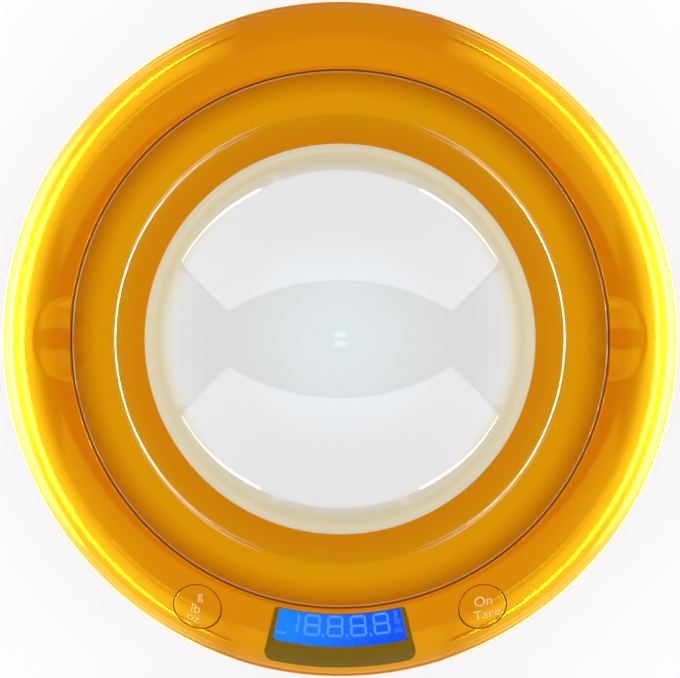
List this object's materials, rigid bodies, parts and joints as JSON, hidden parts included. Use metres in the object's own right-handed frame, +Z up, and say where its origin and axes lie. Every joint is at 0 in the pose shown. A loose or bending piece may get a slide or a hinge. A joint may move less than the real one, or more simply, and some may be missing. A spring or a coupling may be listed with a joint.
{
  "type": "digital kitchen scale",
  "caption": "Round digital kitchen scale with a lift-out bowl, a tinted display window and press buttons on its ring, and a sprung weighing platform.",
  "frame": {"origin": "centre of the box's bottom face: on the scale's axis, at the underside of the feet", "axes": "+Z up, -Y towards the display, +X to the right as the display is read"},
  "size_m": [0.225, 0.225, 0.0736],
  "materials": {
    "body_plastic": "glossy orange plastic",
    "button_plastic": "glossy orange plastic",
    "bowl_plastic": "glossy orange plastic",
    "lining": "glossy white plastic",
    "window": "clear tinted plastic",
    "tape": "dark adhesive tape",
    "bezel": "black plastic",
    "display": "blue liquid crystal display",
    "diffuser": "translucent plastic",
    "contact_strip": "conductive rubber",
    "circuit_board": "green laminate",
    "chip": "black moulding",
    "connector": "ivory plastic",
    "switch": "black plastic",
    "cell_metal": "milled aluminium",
    "gauge": "foil on film",
    "sealant": "white silicone",
    "steel": "plain steel",
    "screw": "plated steel",
    "platform_plastic": "white plastic",
    "rubber": "dark rubber",
    "wire": "insulated wire",
    "ribbon": "flexible film",
    "battery": "wrapped metal can",
    "contact": "nickel-plated steel"
  },
  "bodies": {
    "base": {"lower_housing": "body_plastic", "upper_housing": "body_plastic", "display_window": "window", "window_gasket": "tape", "display_bezel": "bezel", "lcd_glass": "display", "lcd_backlight": "diffuser", "lcd_contact_strips": "contact_strip", "display_board": "circuit_board", "tare_switch": "switch", "unit_switch": "switch", "switch_boards": "circuit_board", "load_cell": "cell_metal", "strain_gauges": "gauge", "gauge_sealant": "sealant", "load_cell_base_plate": "cell_metal", "overload_stop": "steel", "base_screws": "screw", "main_board": "circuit_board", "board_chips": "chip", "board_connectors": "connector", "board_screws": "screw", "housing_screws": "screw", "load_cell_leads": "wire", "battery_leads": "wire", "display_ribbon": "ribbon", "switch_leads": "wire", "battery_cells": "battery", "battery_springs": "contact", "battery_plates": "contact", "rubber_feet": "rubber"},
    "platform": {"load_cell_top_spacer": "cell_metal", "platform_plate": "steel", "platform": "platform_plastic", "platform_pads": "rubber", "platform_screws": "screw"},
    "bowl": {"bowl_shell": "bowl_plastic", "bowl_liner": "lining"},
    "tare_button": {"tare_button": "button_plastic", "tare_switch_plunger": "switch"},
    "unit_button": {"unit_button": "button_plastic", "unit_switch_plunger": "switch"},
    "battery_door": {"battery_door": "body_plastic"}
  },
  "joints": [
    {"name": "platform_deflection", "type": "slide", "parent": "base", "child": "platform", "axis": [0, 0, 1], "range_m": [-0.0005, 0], "stiffness_N_per_m": 100000, "deforming": ["load_cell"]},
    {"name": "bowl_lift", "type": "slide", "parent": "platform", "child": "bowl", "axis": [0, 0, 1], "range_m": [0, 0.12]},
    {"name": "tare_press", "type": "slide", "parent": "base", "child": "tare_button", "axis": [0.23, -0.4326, 0.8717], "range_m": [-0.0006, 0], "stiffness_N_per_m": 1500},
    {"name": "unit_press", "type": "slide", "parent": "base", "child": "unit_button", "axis": [-0.23, -0.4326, 0.8717], "range_m": [-0.0006, 0], "stiffness_N_per_m": 1500},
    {"name": "battery_door_hinge", "type": "hinge", "parent": "base", "child": "battery_door", "pos_m": [0, 0.05425, 0.00285], "axis": [-1, 0, 0], "range_deg": [0, 90]}
  ]
}
